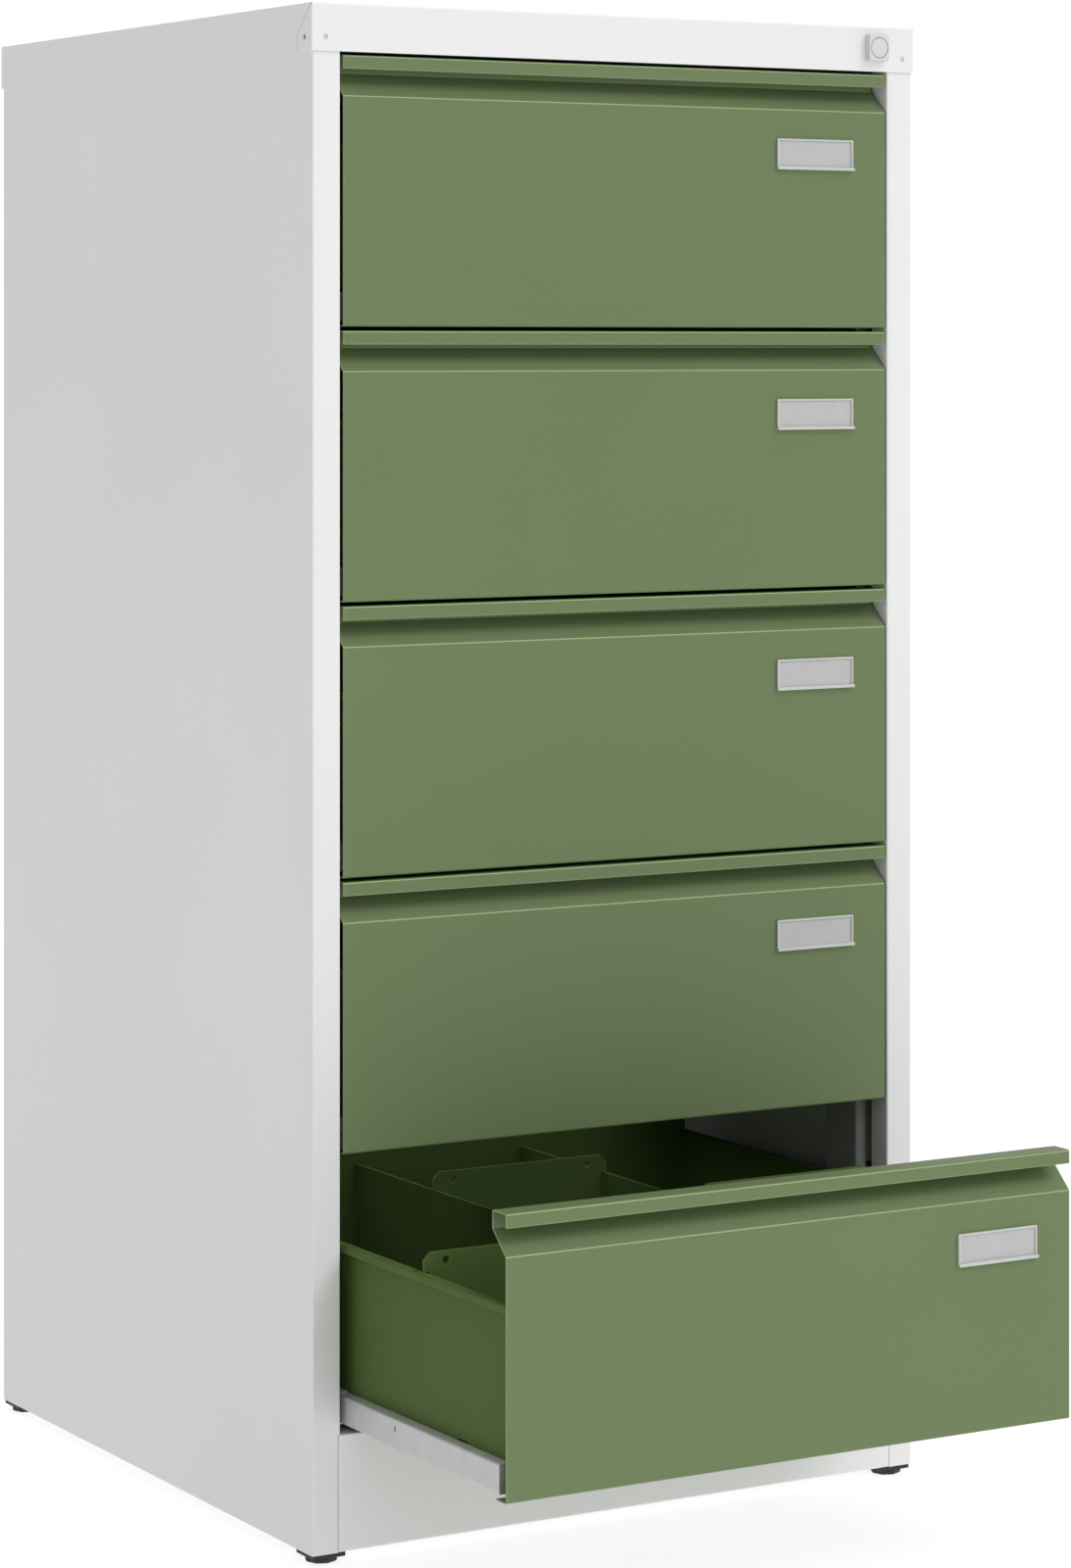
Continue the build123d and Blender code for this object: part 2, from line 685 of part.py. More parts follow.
def body_nodes():
    nodes = {
        "lid": [lid()],
        "lid_screws": lid_screws(),
        "left_side_panel": [left_side_panel()],
        "right_side_panel": [across(left_side_panel())],
        "back_panel": [back_panel()],
        "base_pan": [base_pan()],
        "plinth": [plinth()],
        "head_rail": [head_rail()],
        "uprights": left_uprights() + [across(channel) for channel in left_uprights()],
        "left_cabinet_runners": left_cabinet_runners(),
        "right_cabinet_runners": [across(runner) for runner in left_cabinet_runners()],
        "runner_screws": runner_screws(),
        "foot_plates": foot_plates(),
    }
    for name, place in corner_places().items():
        nodes["levelling_foot_" + name] = [levelling_foot(*place)]
    return nodes


def lock_nodes():
    return {
        "lock_housing": [lock_housing()],
        "lock_nut": [lock_nut()],
        "lock_core": [lock_core()],
        "lock_cam": [lock_cam()],
        "lock_bar": [lock_bar()],
        "lock_guides": lock_guides(),
    }


def drawer_nodes():
    common = {
        "front": [drawer_front()],
        "tray": [drawer_tray()],
        "partitions": partitions(),
        "label_holder": label_holder(),
        "runners": drawer_runners(),
    }
    middle = middle_runners()
    nodes = {}
    for n in range(1, DRAWERS + 1):
        out, up = opening(n), front_bottom(n)
        for name, shapes in common.items():
            nodes[f"drawer_{n}_{name}"] = placed(shapes, out, up)
        nodes[f"drawer_{n}_middle_runners"] = placed(middle, out / 2, up)
        if n < DRAWERS:
            stored = [divider(bay, stored_depth(bay)) for bay in range(BAYS)]
            nodes[f"drawer_{n}_dividers"] = placed(stored, out, up)
    return nodes


def open_drawer_dividers():
    """The dividers of the open drawer, which stand apart as the photograph shows."""
    places = {"left": DIVIDER_Y_LEFT, "middle": DIVIDER_Y_MIDDLE, "right": DIVIDER_Y_RIGHT}
    out, up = opening(DRAWERS), front_bottom(DRAWERS)
    nodes = {}
    for bay, (name, depth) in enumerate(places.items()):
        nodes[f"drawer_{DRAWERS}_divider_{name}"] = placed([divider(bay, depth)], out, up)
    return nodes


def all_nodes():
    nodes = {**body_nodes(), **lock_nodes(), **drawer_nodes(), **open_drawer_dividers()}
    to_origin = Pos(0, -ORIGIN_Y, 0)
    placed_nodes = {}
    for name, shapes in nodes.items():
        solids = [solid for shape in shapes for solid in (to_origin * shape).solids()]
        placed_nodes[name] = Compound(children=solids) if len(solids) > 1 else solids[0]
    return placed_nodes


NODES = all_nodes()
for node_name, node in NODES.items():
    export_step(node, f"parts/{node_name}.step")
print(len(NODES), "nodes; height", round(LID_TOP, 2), "origin y", round(ORIGIN_Y, 3))
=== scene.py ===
import math

import bmesh
import bpy
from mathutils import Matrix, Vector


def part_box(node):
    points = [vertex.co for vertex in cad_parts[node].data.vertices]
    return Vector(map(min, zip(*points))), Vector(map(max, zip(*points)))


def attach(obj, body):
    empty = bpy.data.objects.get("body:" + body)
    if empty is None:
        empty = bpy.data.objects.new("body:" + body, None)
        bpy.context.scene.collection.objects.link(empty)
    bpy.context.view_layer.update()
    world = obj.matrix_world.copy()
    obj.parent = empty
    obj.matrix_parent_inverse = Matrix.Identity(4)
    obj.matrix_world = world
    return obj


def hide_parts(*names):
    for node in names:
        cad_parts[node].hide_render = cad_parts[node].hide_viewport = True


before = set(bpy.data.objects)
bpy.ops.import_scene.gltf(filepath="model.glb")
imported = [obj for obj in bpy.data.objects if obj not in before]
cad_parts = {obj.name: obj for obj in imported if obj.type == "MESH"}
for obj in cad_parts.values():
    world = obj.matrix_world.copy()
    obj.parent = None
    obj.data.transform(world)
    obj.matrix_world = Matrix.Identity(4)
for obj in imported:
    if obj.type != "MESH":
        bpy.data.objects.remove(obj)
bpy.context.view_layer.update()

# Finishes, as linear red, green and blue
WHITE_PAINT = (0.80, 0.80, 0.80)
GREEN_PAINT = (0.142, 0.198, 0.086)
INNER_GREEN_PAINT = (0.088, 0.140, 0.040)
GREY_PAINT = (0.36, 0.365, 0.37)
ZINC = (0.54, 0.545, 0.54)
SCREW_STEEL = (0.62, 0.62, 0.60)
LABEL_PLASTIC = (0.55, 0.58, 0.54)
CARD_PAPER = (0.50, 0.50, 0.50)
LOCK_CASE = (0.66, 0.66, 0.66)
# Dark grey of the painted shade strips in the seam grooves and joint gaps
PAINTED_SEAM_SHADE = (0.10, 0.10, 0.10)
BLACK_PLASTIC = (0.012, 0.012, 0.013)
FLOOR = (0.20, 0.20, 0.20)

# The way the bends above a front's edges face, where a painted highlight stands in for the light the
# coat catches
PAINTED_HIGHLIGHT_FACING = (0.0, -0.906, 0.423)
UP = (0.0, 0.0, 1.0)

# Where the masks over a surface start and end: cosines to a direction, and a bend's sum of parts
EDGE_COSINES = (0.80, 0.99)
BEND_COSINES = (0.955, 0.975)
TOP_COSINES = (0.9, 0.99)
BEND_SUMS = (1.15, 1.33)
NOISE_MIDDLE = (0.3, 0.7)
BEVEL_SAMPLES = 4

# The colour sockets of a mix node, by their places
MIX_A, MIX_B, MIX_RESULT = 6, 7, 2

# Widths of the painted highlights along edges, in metres
COAT_EDGE = 0.0018
ZINC_EDGE = 0.0010
MOULD_EDGE = 0.0005

# Grain sizes, in metres
ORANGE_PEEL = 0.0016
FINE_PEEL = 0.0005
DRIFT = 0.35
ROLLING_LINE = 0.0006
ZINC_CLOUD = 0.02
PAPER_FIBRE = 0.0009
PAPER_MOTTLE = 0.012
MOULD_GRAIN = 0.0004
MOULD_CLOUD = 0.03
FLOOR_MOTTLE = 0.8

# The photograph's camera: its frame and focal length in pixels, its place and turn
PHOTO_W, PHOTO_H = 1093, 1600
FOCAL_PIXELS = 4505.365
HORIZON_ROW = 353.024
SENSOR = 36.0
CAMERA_PLACE = (-1.843764, -3.175367, 0.93628)
CAMERA_TURN = 0.53012

# Light: the sky, which falls off to both sides, a soft key from the upper right, a fill in the
# open drawer's bay and the floor's glow
SKY = 1.07
SKY_LEFT = 0.33
SKY_FALL = 0.60
SKY_RIGHT = 0.62
SKY_RIGHT_FROM, SKY_RIGHT_TO = 0.25, 0.90
KEY_STRENGTH = 0.85
KEY_ANGLE = math.radians(26)
KEY_FROM = (0.505, -0.52, 0.69)
BAY_POWER = 0.30
BAY_SIZE = 0.36
BAY_SPREAD = math.radians(105)
BAY_PLACE = (0.0, 0.10, 0.3085)
FLOOR_GLOW = 0.88
FLOOR_REACH = 40.0
BACKDROP_GLOW = 1.02

# Sizes of the label holder round its card, in metres
HOLDER_BORDER = 0.0014
HOLDER_LEDGE_H = 0.0024
HOLDER_LEDGE_OVER = 0.001
HOLDER_LEDGE_OUT = 0.003
HOLDER_PLATE = 0.001

# Sizes of small pieces, in metres, and the turn of the screws' crosses
CARD_THICK = 0.00012
CARD_SUNK = 0.00002
CARD_CORNER = 0.0006
CARD_INSET = 0.0003
SCREW_HEAD_R = 0.0021
SCREW_HEAD_T = 0.0011
SCREW_CROWN = 0.0004
SCREW_SHANK_R = 0.0015
THREAD_DEPTH = 0.0003
THREAD_PITCH = 0.0008
CROSS_HALF_W = 0.00028
CROSS_HALF_L = 0.0012
CROSS_DEPTH = 0.0008
CROSS_TURN = 0.5
RIVET_R = 0.00145
RIVET_CROWN = 0.00015
RIVET_T = 0.001
RIVET_BACK = 0.235
RIVET_UP = 0.0139
SEAM_BACK = 0.02445
SEAM_DROP = 0.023
SEAM_W = 0.0005
SEAM_SUNK = 0.0001
SEAM_T = 0.0001
PLINTH_GAP = 0.0002
PLINTH_LINE_W = 0.0005
PLINTH_LINE_PROUD = 0.00005


class Finish:
    """A material under construction, with short calls for its nodes."""

    def __init__(self, name):
        self.material = bpy.data.materials.new(name)
        self.material.use_nodes = True
        self.tree = self.material.node_tree
        self.shader = self.tree.nodes["Principled BSDF"]
        place = self.tree.nodes.new("ShaderNodeTexCoord")
        self.place = place.outputs["Object"]
        self.facing = place.outputs["Normal"]

    def link(self, output, socket):
        self.tree.links.new(output, socket)

    def stretched(self, scale):
        """The place on the object, stretched by scale in X, Y and Z."""
        mapping = self.tree.nodes.new("ShaderNodeMapping")
        mapping.inputs["Scale"].default_value = scale
        self.link(self.place, mapping.inputs["Vector"])
        return mapping.outputs["Vector"]

    def noise(self, grain, detail=2.0, place=None):
        """Noise from 0 to 1 whose grains are about that size."""
        texture = self.tree.nodes.new("ShaderNodeTexNoise")
        texture.inputs["Scale"].default_value = 1.0 / grain
        texture.inputs["Detail"].default_value = detail
        self.link(place or self.place, texture.inputs["Vector"])
        return texture.outputs["Fac"]

    def ranged(self, value, low, high, from_low=0.0, from_high=1.0):
        """A value moved from one range to another and kept inside it."""
        node = self.tree.nodes.new("ShaderNodeMapRange")
        node.inputs["From Min"].default_value = from_low
        node.inputs["From Max"].default_value = from_high
        node.inputs["To Min"].default_value = low
        node.inputs["To Max"].default_value = high
        self.link(value, node.inputs["Value"])
        return node.outputs["Result"]

    def edges(self, radius):
        """1 along the edges of a piece and 0 on its faces."""
        bevel = self.tree.nodes.new("ShaderNodeBevel")
        bevel.samples = BEVEL_SAMPLES
        bevel.inputs["Radius"].default_value = radius
        geometry = self.tree.nodes.new("ShaderNodeNewGeometry")
        dot = self.tree.nodes.new("ShaderNodeVectorMath")
        dot.operation = "DOT_PRODUCT"
        self.link(bevel.outputs["Normal"], dot.inputs[0])
        self.link(geometry.outputs["Normal"], dot.inputs[1])
        return self.ranged(dot.outputs["Value"], 1.0, 0.0, *EDGE_COSINES)

    def middle(self, noise, low=0.0, high=1.0):
        """Noise whose middle is spread from low to high."""
        return self.ranged(noise, low, high, *NOISE_MIDDLE)

    def turned_to(self, direction, cosines):
        """1 on faces turned to a direction and 0 on others."""
        dot = self.tree.nodes.new("ShaderNodeVectorMath")
        dot.operation = "DOT_PRODUCT"
        dot.inputs[1].default_value = direction
        self.link(self.facing, dot.inputs[0])
        return self.ranged(dot.outputs["Value"], 0.0, 1.0, *cosines)

    def bends(self):
        """1 on the rounded bends between faces that are square to an axis, and 0 on those."""
        absolute = self.tree.nodes.new("ShaderNodeVectorMath")
        absolute.operation = "ABSOLUTE"
        self.link(self.facing, absolute.inputs[0])
        total = self.tree.nodes.new("ShaderNodeVectorMath")
        total.operation = "DOT_PRODUCT"
        total.inputs[1].default_value = (1.0, 1.0, 1.0)
        self.link(absolute.outputs["Vector"], total.inputs[0])
        return self.ranged(total.outputs["Value"], 0.0, 1.0, *BEND_SUMS)

    def mixed(self, factor, colour, other):
        """Colour where factor is 0 and other where it is 1; each is a colour or an output."""
        node = self.tree.nodes.new("ShaderNodeMix")
        node.data_type = "RGBA"
        self.link(factor, node.inputs["Factor"])
        for socket, value in ((node.inputs[MIX_A], colour), (node.inputs[MIX_B], other)):
            if isinstance(value, tuple):
                socket.default_value = (*value, 1.0)
            else:
                self.link(value, socket)
        return node.outputs[MIX_RESULT]

    def bump(self, height, strength, distance, normal=None):
        """A normal bent by a height, on top of another bent normal if one is given."""
        node = self.tree.nodes.new("ShaderNodeBump")
        node.inputs["Strength"].default_value = strength
        node.inputs["Distance"].default_value = distance
        self.link(height, node.inputs["Height"])
        if normal is not None:
            self.link(normal, node.inputs["Normal"])
        return node.outputs["Normal"]

    def set(self, **values):
        """Sets the shader's sockets, each to a constant or to an output."""
        for name, value in values.items():
            socket = self.shader.inputs[name.replace("_", " ")]
            if isinstance(value, bpy.types.NodeSocket):
                self.link(value, socket)
            elif isinstance(value, tuple):
                socket.default_value = (*value, 1.0)
            else:
                socket.default_value = value
        return self.material


def shade(colour, factor):
    """A colour made lighter or darker by a factor."""
    return tuple(min(1.0, part * factor) for part in colour)


def powder_coat(name, colour, roughness=0.42, edge=1.12, gloss=0.5, bend=1.0):
    """Satin powder coat: orange peel, a slow drift in tone, and painted highlights along edges and
    bends.
    """
    finish = Finish(name)
    drift = finish.middle(finish.noise(DRIFT, 3.0))
    tone = finish.mixed(drift, shade(colour, 0.975), shade(colour, 1.02))
    # Painted highlights: lighter colour along edges, on bends turned up to the front and, when bend
    # is above 1, on all rounded bends
    tone = finish.mixed(finish.edges(COAT_EDGE), tone, shade(colour, edge))
    tone = finish.mixed(finish.turned_to(PAINTED_HIGHLIGHT_FACING, BEND_COSINES), tone, shade(colour, edge**1.3))
    if bend > 1:
        tone = finish.mixed(finish.bends(), tone, shade(colour, bend))
    coarse = finish.noise(ORANGE_PEEL, 2.0)
    fine = finish.noise(FINE_PEEL, 1.0)
    normal = finish.bump(coarse, strength=0.10, distance=0.0002)
    normal = finish.bump(fine, strength=0.05, distance=0.0001, normal=normal)
    rough = finish.middle(coarse, roughness - 0.03, roughness + 0.05)
    finish.set(Base_Color=tone, Roughness=rough, Normal=normal)
    return finish.set(IOR=1.46, Specular_IOR_Level=gloss)


def zinc_plate(name, colour, roughness=0.42):
    """Zinc-plated strip: faint rolling lines along Y, soft clouds, and a painted highlight on top and
    along edges.
    """
    finish = Finish(name)
    lines = finish.noise(ROLLING_LINE, 2.0, finish.stretched((1.0, 0.02, 1.0)))
    clouds = finish.noise(ZINC_CLOUD, 4.0)
    # Painted highlight: upward faces and edges are made lighter, standing in for the light they catch
    bright = shade(colour, 1.6)
    tone = finish.mixed(finish.middle(clouds), shade(colour, 0.9), shade(colour, 1.08))
    tone = finish.mixed(finish.turned_to(UP, TOP_COSINES), tone, bright)
    tone = finish.mixed(finish.edges(ZINC_EDGE), tone, bright)
    rough = finish.middle(clouds, roughness - 0.06, roughness + 0.1)
    normal = finish.bump(lines, strength=0.12, distance=0.0001)
    return finish.set(Base_Color=tone, Roughness=rough, Metallic=0.6, Normal=normal)


def moulded_plastic(name, colour, roughness):
    """Moulded plastic with a fine grain, and a painted highlight along its edges."""
    finish = Finish(name)
    grain = finish.noise(MOULD_GRAIN, 2.0)
    cloud = finish.middle(finish.noise(MOULD_CLOUD, 3.0))
    tone = finish.mixed(cloud, shade(colour, 0.96), shade(colour, 1.03))
    # Painted highlight: lighter colour along the edges
    tone = finish.mixed(finish.edges(MOULD_EDGE), tone, shade(colour, 1.25))
    rough = finish.middle(grain, roughness - 0.04, roughness + 0.06)
    normal = finish.bump(grain, strength=0.12, distance=0.00006)
    return finish.set(Base_Color=tone, Roughness=rough, Normal=normal, IOR=1.5)


def card_paper(name, colour):
    """Matt card with short fibres and a faint mottle."""
    finish = Finish(name)
    fibres = finish.noise(PAPER_FIBRE, 4.0, finish.stretched((0.35, 1.0, 1.6)))
    mottle = finish.middle(finish.noise(PAPER_MOTTLE, 3.0))
    tone = finish.mixed(mottle, shade(colour, 0.97), shade(colour, 1.03))
    tone = finish.mixed(finish.ranged(fibres, 0.0, 0.35, 0.35, 0.75), tone, shade(colour, 0.93))
    normal = finish.bump(fibres, strength=0.15, distance=0.00005)
    return finish.set(Base_Color=tone, Roughness=0.82, Normal=normal, IOR=1.4)


def floor_paint():
    """Pale studio floor with a barely visible mottle, bright enough to read as white."""
    finish = Finish("studio_floor")
    mottle = finish.noise(FLOOR_MOTTLE, 3.0)
    tone = finish.mixed(mottle, shade(FLOOR, 0.995), shade(FLOOR, 1.005))
    finish.set(Base_Color=tone, Roughness=0.9, IOR=1.2)
    return finish.set(Emission_Color=(1.0, 1.0, 1.0), Emission_Strength=FLOOR_GLOW)


def backdrop_paint():
    """White backdrop with a barely visible drift, as bright as the floor."""
    finish = Finish("studio_backdrop")
    drift = finish.noise(FLOOR_REACH / 4, 2.0)
    glow = finish.ranged(drift, BACKDROP_GLOW, BACKDROP_GLOW * 1.02)
    finish.set(Base_Color=(0.0, 0.0, 0.0), Roughness=1.0, Specular_IOR_Level=0.0)
    return finish.set(Emission_Color=(1.0, 1.0, 1.0), Emission_Strength=glow)


MATERIALS = {
    # The edge and bend factors set the strength of the painted highlights
    "white": powder_coat("white_powder_coat", WHITE_PAINT),
    "green": powder_coat("green_powder_coat", GREEN_PAINT, 0.46, 1.75, 0.35),
    "inner_green": powder_coat("inner_green_powder_coat", INNER_GREEN_PAINT, 0.55, 1.5, 0.06),
    "grey": powder_coat("grey_powder_coat", GREY_PAINT, 0.5, bend=2.2),
    "zinc": zinc_plate("zinc_plate", ZINC),
    "screw": zinc_plate("screw_zinc", SCREW_STEEL, 0.3),
    "label": moulded_plastic("label_plastic", LABEL_PLASTIC, 0.45),
    "card": card_paper("card_paper", CARD_PAPER),
    "lock_case": moulded_plastic("lock_case_enamel", LOCK_CASE, 0.38),
    "seam": moulded_plastic("seam_shadow", PAINTED_SEAM_SHADE, 0.6),
    "black": moulded_plastic("black_nylon", BLACK_PLASTIC, 0.5),
}

# Which finish each CAD node takes, by the words in its name; the first match counts
NODE_FINISHES = (
    ("levelling_foot", "black"),
    ("foot_plates", "black"),
    ("label_holder", "label"),
    ("lock_housing", "lock_case"),
    ("lock_core", "lock_case"),
    ("lock_guides", "black"),
    ("lock", "zinc"),
    ("screws", "screw"),
    ("runners", "zinc"),
    ("front", "green"),
    ("drawer", "inner_green"),
    ("base_pan", "grey"),
    ("head_rail", "grey"),
    ("uprights", "grey"),
    ("", "white"),
)


def dress_nodes():
    """Gives each CAD node its finish."""
    for name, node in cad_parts.items():
        finish = next(finish for word, finish in NODE_FINISHES if word in name)
        node.data.materials.clear()
        node.data.materials.append(MATERIALS[finish])


def new_piece(name, mesh_data, finish, body):
    """An object from a bmesh, in the shared frame, riding on a body."""
    mesh = bpy.data.meshes.new(name)
    bmesh.ops.recalc_face_normals(mesh_data, faces=mesh_data.faces)
    mesh_data.to_mesh(mesh)
    mesh_data.free()
    piece = bpy.data.objects.new(name, mesh)
    bpy.context.scene.collection.objects.link(piece)
    mesh.materials.append(MATERIALS[finish])
    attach(piece, body)
    return piece


def rounded_outline(width, height, radius, steps=5):
    """Points round a rectangle with rounded corners, centred on the origin."""
    points = []
    for corner in range(4):
        sign_x = 1 if corner in (0, 3) else -1
        sign_z = 1 if corner in (0, 1) else -1
        for step in range(steps + 1):
            angle = math.pi / 2 * (corner + step / steps)
            x = sign_x * (width / 2 - radius) + radius * math.cos(angle)
            z = sign_z * (height / 2 - radius) + radius * math.sin(angle)
            points.append((x, z))
    return points


def label_card(number):
    """The card in a label holder, a thin sheet with rounded corners."""
    low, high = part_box(f"drawer_{number}_label_holder")
    margin = HOLDER_BORDER + CARD_INSET
    left, right = low.x + margin, high.x - HOLDER_LEDGE_OVER - margin
    bottom, top = low.z + HOLDER_LEDGE_H, high.z - margin
    face = low.y + HOLDER_LEDGE_OUT - HOLDER_PLATE
    centre = Vector(((left + right) / 2, face, (bottom + top) / 2))
    outline = rounded_outline(right - left, top - bottom, CARD_CORNER)
    mesh_data = bmesh.new()
    front = [mesh_data.verts.new(centre + Vector((x, -CARD_THICK, z))) for x, z in outline]
    back = [mesh_data.verts.new(centre + Vector((x, CARD_SUNK, z))) for x, z in outline]
    mesh_data.faces.new(front)
    mesh_data.faces.new(list(reversed(back)))
    for n in range(len(outline)):
        after = (n + 1) % len(outline)
        mesh_data.faces.new((front[n], back[n], back[after], front[after]))
    new_piece(f"drawer_{number}_label_card", mesh_data, "card", f"drawer_{number}")


def turned(mesh_data, place, outward, profile, across, dent=None, around=48):
    """A turned body: profile lists radius and height along outward, from its face to its end."""
    other = outward.cross(across)
    rings = []
    for radius, height in profile:
        ring = []
        for n in range(around if radius > 0 else 1):
            angle = 2 * math.pi * n / around
            u, v = radius * math.cos(angle), radius * math.sin(angle)
            sunk = dent(u, v, height) if dent else 0.0
            point = place + across * u + other * v + outward * (height - sunk)
            ring.append(mesh_data.verts.new(point))
        rings.append(ring)
    for ring, after in zip(rings, rings[1:]):
        for n in range(around):
            m = (n + 1) % around
            near = (ring[n % len(ring)], ring[m % len(ring)])
            far = (after[m % len(after)], after[n % len(after)])
            mesh_data.faces.new(dict.fromkeys(near + far))


def cross_recess(u, v, height):
    """How deep a screwdriver's cross is at a place on a screw's face."""
    along, beside = max(abs(u), abs(v)), min(abs(u), abs(v))
    if height < -SCREW_CROWN or along > CROSS_HALF_L or beside > CROSS_HALF_W:
        return 0.0
    return CROSS_DEPTH * (1 - along / CROSS_HALF_L) ** 0.5


def dome(radius, crown, steps):
    """The profile of a shallow dome from its middle to its rim."""
    return [(radius * n / steps, -crown * (n / steps) ** 2) for n in range(steps + 1)]


def lid_screws():
    """The two cross-head screws in the lid's front, with their threads."""
    low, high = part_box("lid_screws")
    face = dome(SCREW_HEAD_R, SCREW_CROWN, 14)
    profile = face + [(SCREW_HEAD_R, -SCREW_HEAD_T), (SCREW_SHANK_R, -SCREW_HEAD_T)]
    reach = SCREW_HEAD_T
    while reach + THREAD_PITCH < high.y - low.y:
        profile.append((SCREW_SHANK_R - THREAD_DEPTH, -reach - THREAD_PITCH / 2))
        profile.append((SCREW_SHANK_R, -reach - THREAD_PITCH))
        reach += THREAD_PITCH
    profile.append((0.0, -reach - THREAD_PITCH / 4))
    across = Vector((math.cos(CROSS_TURN), 0.0, math.sin(CROSS_TURN)))
    mesh_data = bmesh.new()
    for x in (low.x + SCREW_HEAD_R, high.x - SCREW_HEAD_R):
        place = Vector((x, low.y, (low.z + high.z) / 2))
        turned(mesh_data, place, Vector((0, -1, 0)), profile, across, cross_recess)
    piece = new_piece("lid_screw_heads", mesh_data, "screw", "carcass")
    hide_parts("lid_screws")


def runner_rivets(number):
    """The bright rivet in each runner of a drawer, near the cabinet's mouth."""
    low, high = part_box(f"drawer_{number}_runners")
    profile = [(r, h + RIVET_CROWN) for r, h in dome(RIVET_R, RIVET_CROWN, 5)]
    profile += [(RIVET_R, -RIVET_T), (0.0, -RIVET_T)]
    mesh_data = bmesh.new()
    for x, outward in ((low.x, Vector((-1, 0, 0))), (high.x, Vector((1, 0, 0)))):
        place = Vector((x, low.y + RIVET_BACK, low.z + RIVET_UP))
        turned(mesh_data, place, outward, profile, Vector((0, 1, 0)), around=24)
    new_piece(f"drawer_{number}_runner_rivets", mesh_data, "screw", f"drawer_{number}")


def slab(mesh_data, corners, through):
    """A thin slab: a face on four corners, carried through by a vector."""
    faces = [[mesh_data.verts.new(corner + far) for corner in corners] for far in (Vector(), through)]
    mesh_data.faces.new(faces[0])
    mesh_data.faces.new(faces[1])
    for n in range(4):
        after = (n + 1) % 4
        mesh_data.faces.new((faces[0][n], faces[0][after], faces[1][after], faces[1][n]))


def lid_seams():
    """Painted shade on the lid's sides: thin dark strips in the bottom of its seam grooves."""
    low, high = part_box("lid")
    bend = Vector((0.0, low.y + SEAM_BACK, high.z - SEAM_DROP))
    line = [(low.y, high.z), (bend.y, bend.z), (bend.y, low.z)]
    edge = [
        (low.y, high.z - SEAM_W * 1.4),
        (bend.y - SEAM_W, bend.z - SEAM_W * 0.4),
        (bend.y - SEAM_W, low.z),
    ]
    mesh_data = bmesh.new()
    for x in (low.x + SEAM_SUNK, high.x - SEAM_SUNK - SEAM_T):
        for n in range(2):
            corners = (line[n], line[n + 1], edge[n + 1], edge[n])
            slab(mesh_data, [Vector((x, *corner)) for corner in corners], Vector((SEAM_T, 0.0, 0.0)))
    new_piece("lid_seam_painted_shade", mesh_data, "seam", "carcass")


def plinth_seams():
    """Painted shade: thin dark strips over the gaps between the plinth and the posts."""
    low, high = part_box("plinth")
    mesh_data = bmesh.new()
    for x in (low.x - PLINTH_GAP / 2, high.x + PLINTH_GAP / 2):
        left, right = x - PLINTH_LINE_W / 2, x + PLINTH_LINE_W / 2
        outline = ((left, low.z), (right, low.z), (right, high.z), (left, high.z))
        corners = [Vector((u, low.y - PLINTH_LINE_PROUD, v)) for u, v in outline]
        slab(mesh_data, corners, Vector((0.0, SEAM_T, 0.0)))
    new_piece("plinth_seam_painted_shade", mesh_data, "seam", "carcass")


dress_nodes()
lid_screws()
lid_seams()
plinth_seams()
for drawer in range(1, 6):
    label_card(drawer)
    runner_rivets(drawer)


def add_camera():
    """The photograph's camera, level, with its lens shifted down to the object."""
    camera = bpy.data.cameras.new("camera")
    camera.sensor_fit = "HORIZONTAL"
    camera.sensor_width = SENSOR
    camera.lens = FOCAL_PIXELS / PHOTO_W * SENSOR
    camera.shift_y = -(PHOTO_H / 2 - HORIZON_ROW) / PHOTO_W
    camera.clip_start, camera.clip_end = 0.05, 60.0
    holder = bpy.data.objects.new("camera", camera)
    holder.location = CAMERA_PLACE
    holder.rotation_euler = (math.pi / 2, 0.0, -CAMERA_TURN)
    bpy.context.scene.collection.objects.link(holder)
    bpy.context.scene.camera = holder


def add_stage(name, mesh_data, material):
    """A part of the studio from a bmesh."""
    mesh = bpy.data.meshes.new(name)
    mesh_data.to_mesh(mesh)
    mesh_data.free()
    mesh.materials.append(material)
    piece = bpy.data.objects.new(name, mesh)
    bpy.context.scene.collection.objects.link(piece)
    return piece


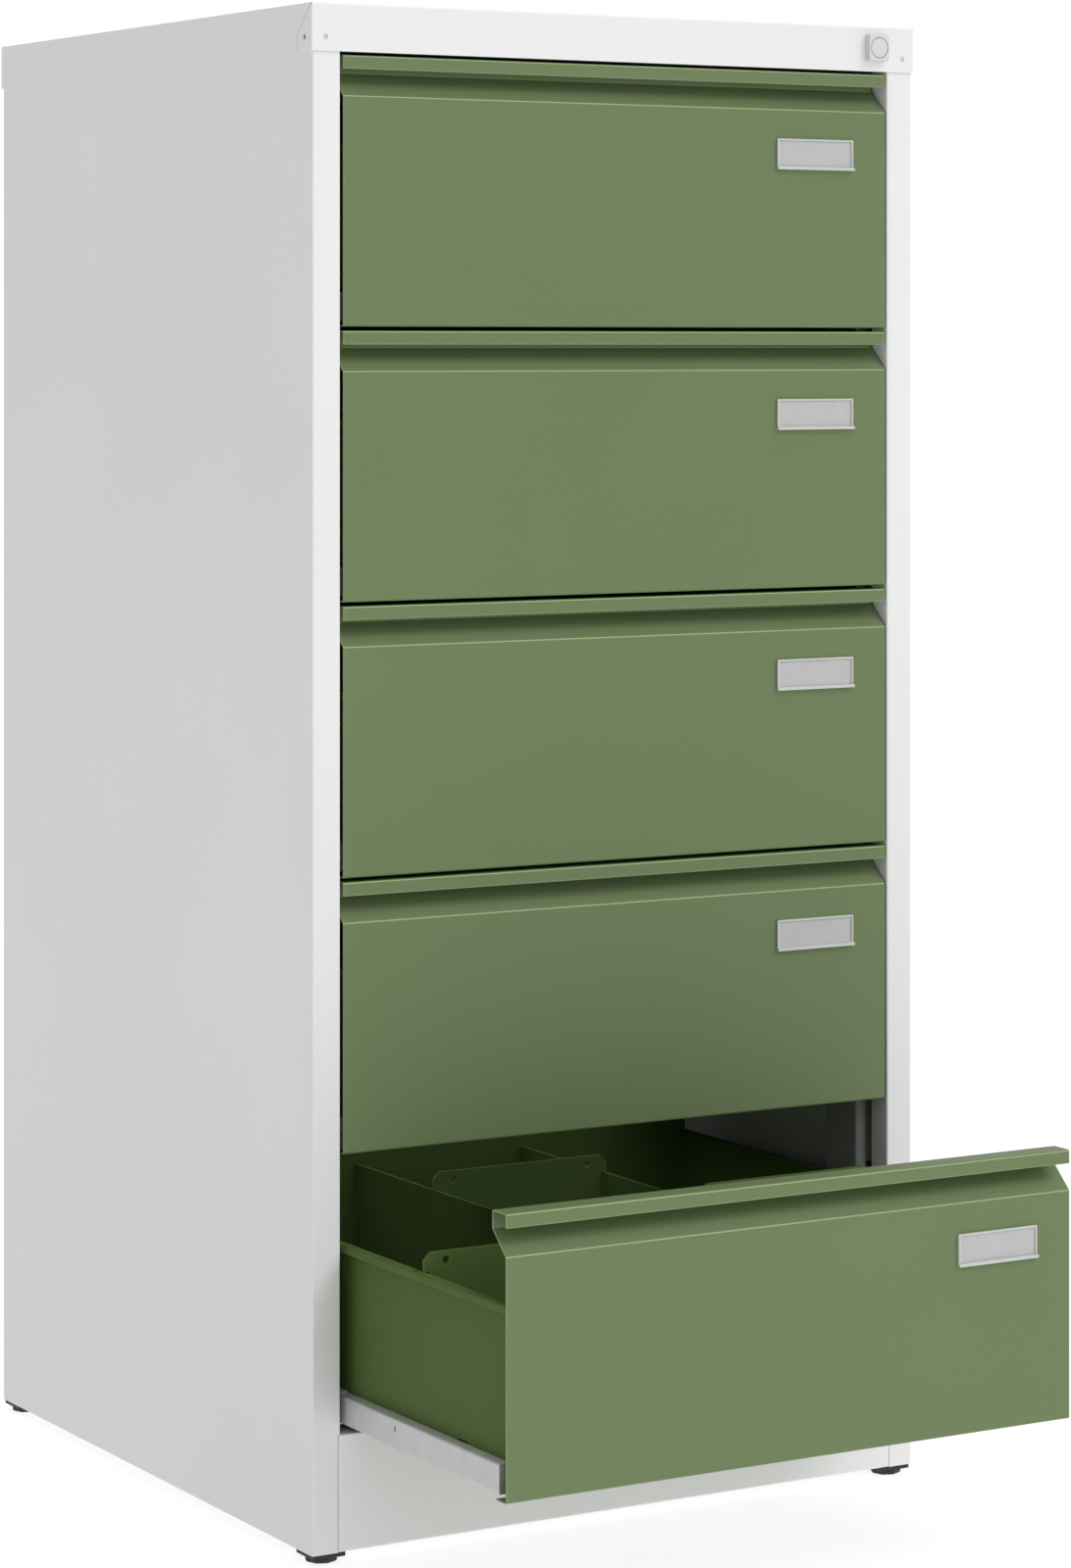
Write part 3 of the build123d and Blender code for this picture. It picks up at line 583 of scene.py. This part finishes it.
def add_studio():
    """A wide round floor, and a white dome that only the eye sees and that blocks no light."""
    disc = bmesh.new()
    bmesh.ops.create_circle(disc, cap_ends=True, segments=64, radius=FLOOR_REACH)
    add_stage("floor", disc, floor_paint())
    globe = bmesh.new()
    bmesh.ops.create_uvsphere(globe, u_segments=48, v_segments=24, radius=FLOOR_REACH)
    dome = add_stage("backdrop", globe, backdrop_paint())
    dome.visible_diffuse = dome.visible_glossy = dome.visible_transmission = False
    dome.visible_shadow = dome.visible_volume_scatter = False


def add_sky():
    """A white sky, dimmer on its sides."""
    world = bpy.data.worlds.new("studio")
    world.use_nodes = True
    nodes, links = world.node_tree.nodes, world.node_tree.links
    direction = nodes.new("ShaderNodeTexCoord")
    parts = nodes.new("ShaderNodeSeparateXYZ")
    links.new(direction.outputs["Generated"], parts.inputs["Vector"])
    falls = ((-SKY_FALL, 0.0, SKY_LEFT, SKY), (SKY_RIGHT_FROM, SKY_RIGHT_TO, 1.0, SKY_RIGHT))
    strength = nodes.new("ShaderNodeMath")
    strength.operation = "MULTIPLY"
    for socket, (from_low, from_high, low, high) in zip(strength.inputs, falls):
        fall = nodes.new("ShaderNodeMapRange")
        fall.inputs["From Min"].default_value = from_low
        fall.inputs["From Max"].default_value = from_high
        fall.inputs["To Min"].default_value = low
        fall.inputs["To Max"].default_value = high
        links.new(parts.outputs["X"], fall.inputs["Value"])
        links.new(fall.outputs["Result"], socket)
    links.new(strength.outputs["Value"], nodes["Background"].inputs["Strength"])
    nodes["Background"].inputs["Color"].default_value = (1.0, 1.0, 1.0, 1.0)
    bpy.context.scene.world = world


def add_lamp(name, kind, energy):
    """A lamp and the object that holds it."""
    lamp = bpy.data.lights.new(name, kind)
    lamp.energy = energy
    holder = bpy.data.objects.new(name, lamp)
    bpy.context.scene.collection.objects.link(holder)
    return lamp, holder


def add_key():
    """A soft key from the upper right."""
    lamp, holder = add_lamp("key", "SUN", KEY_STRENGTH)
    lamp.angle = KEY_ANGLE
    holder.rotation_euler = Vector(KEY_FROM).to_track_quat("Z", "Y").to_euler()


def add_bay_fill():
    """A faint fill over the open drawer, from the ceiling of its bay."""
    lamp, holder = add_lamp("bay_fill", "AREA", BAY_POWER)
    lamp.shape = "SQUARE"
    lamp.size = BAY_SIZE
    lamp.spread = BAY_SPREAD
    holder.location = BAY_PLACE


add_camera()
add_studio()
add_sky()
add_key()
add_bay_fill()
bpy.context.scene.view_settings.view_transform = "Standard"
